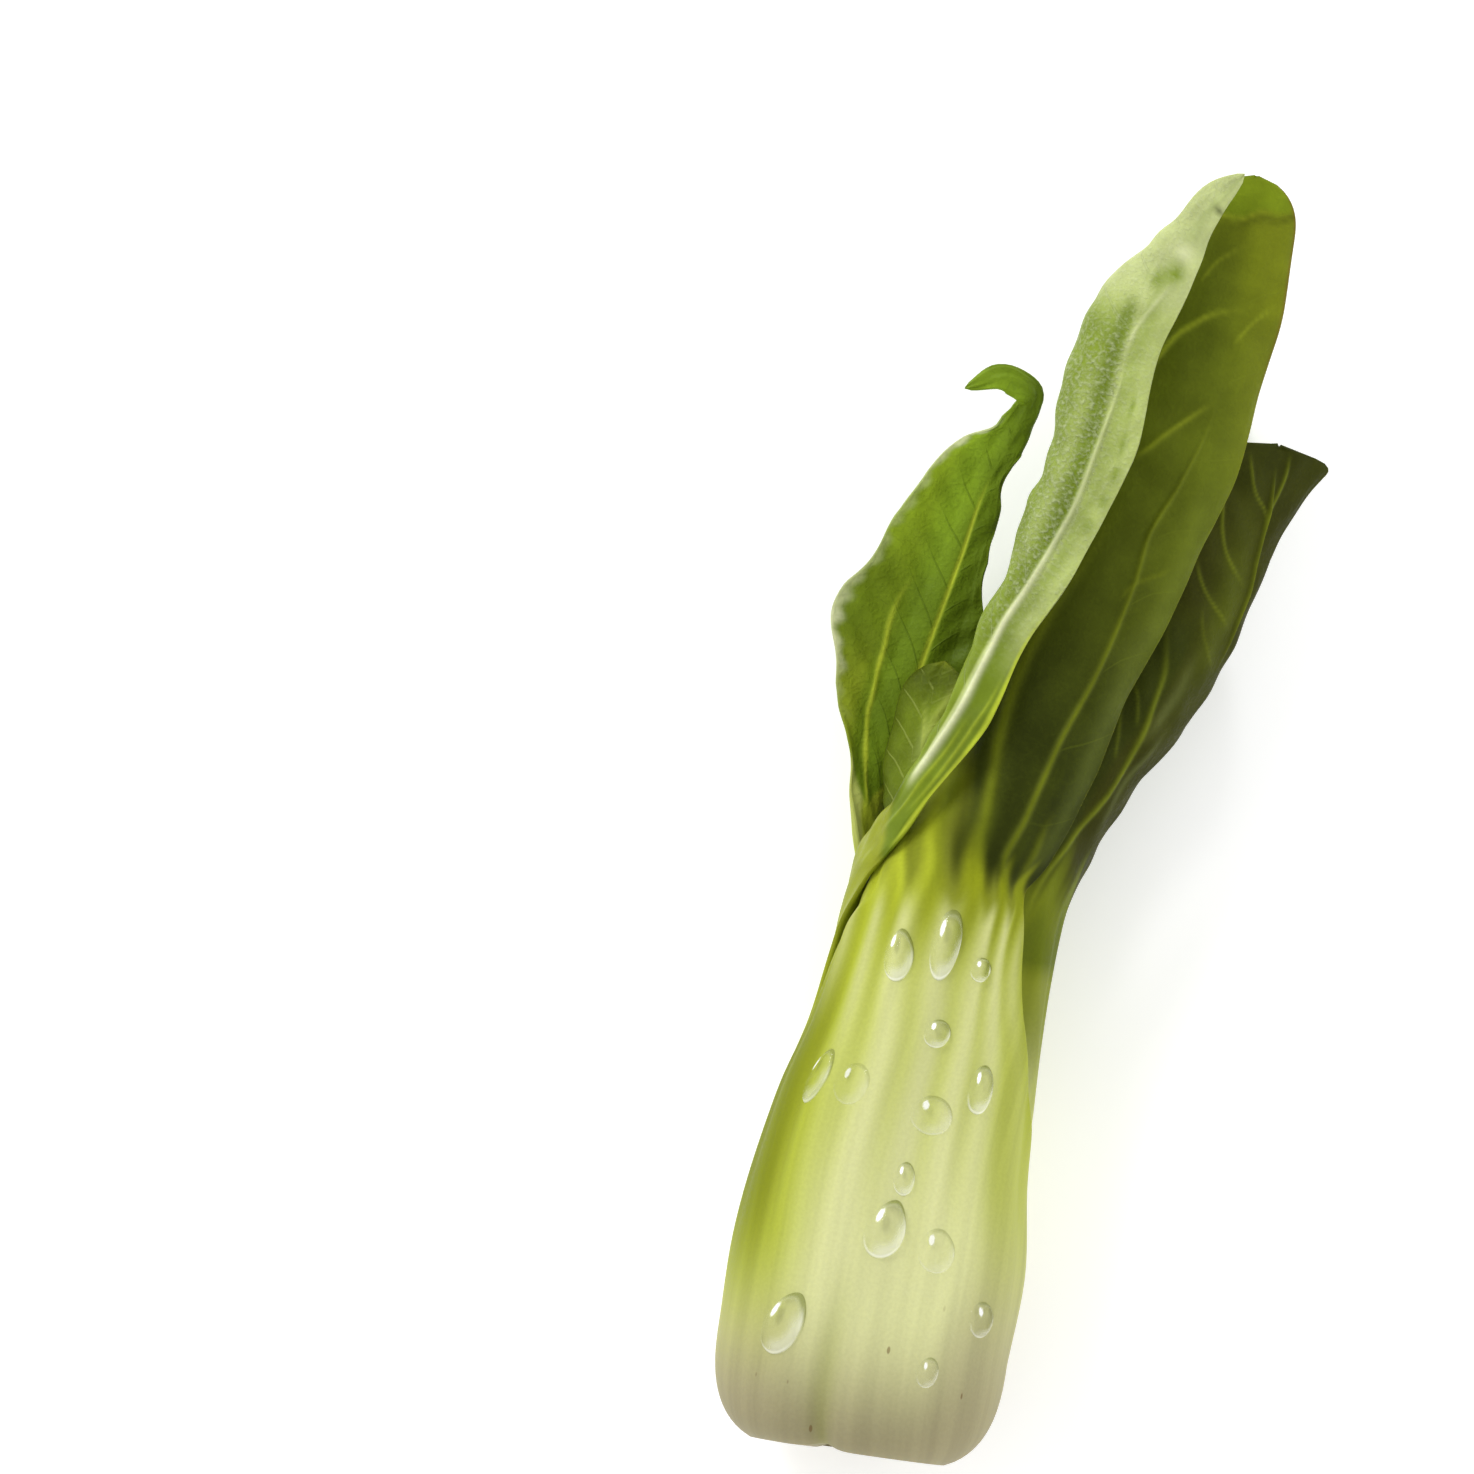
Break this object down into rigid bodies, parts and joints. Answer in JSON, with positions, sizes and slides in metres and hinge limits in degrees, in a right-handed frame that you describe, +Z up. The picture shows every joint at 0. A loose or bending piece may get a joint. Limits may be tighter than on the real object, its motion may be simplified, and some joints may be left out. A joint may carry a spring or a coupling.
{
  "type": "bok choy",
  "caption": "Whole head of bok choy lying on its side: pale fleshy stalks packed round a short stem, with thin dark green blades fanned out above the neck.",
  "frame": {"origin": "the middle of the head's outline seen from above, at the level of the surface it lies on", "axes": "+Y from the root end to the leaf tips, +Z up from the surface it lies on, +X to the right"},
  "size_m": [0.0694, 0.1986, 0.0445],
  "materials": {
    "outer_leaf": "waxy leaf, dark green blade over a pale green stalk",
    "inner_leaf": "waxy leaf, yellow-green",
    "stem": "matt, ivory white"
  },
  "bodies": {
    "root": {"crossing_leaf": "outer_leaf", "front_leaf": "outer_leaf", "right_leaf": "outer_leaf", "under_leaf": "outer_leaf", "left_leaf": "outer_leaf", "inner_left_leaf": "inner_leaf", "inner_right_leaf": "inner_leaf", "under_right_leaf": "inner_leaf", "inner_under_leaf": "inner_leaf", "heart_leaf_1": "inner_leaf", "heart_leaf_2": "inner_leaf", "heart_leaf_3": "inner_leaf", "stem": "stem"}
  },
  "joints": []
}
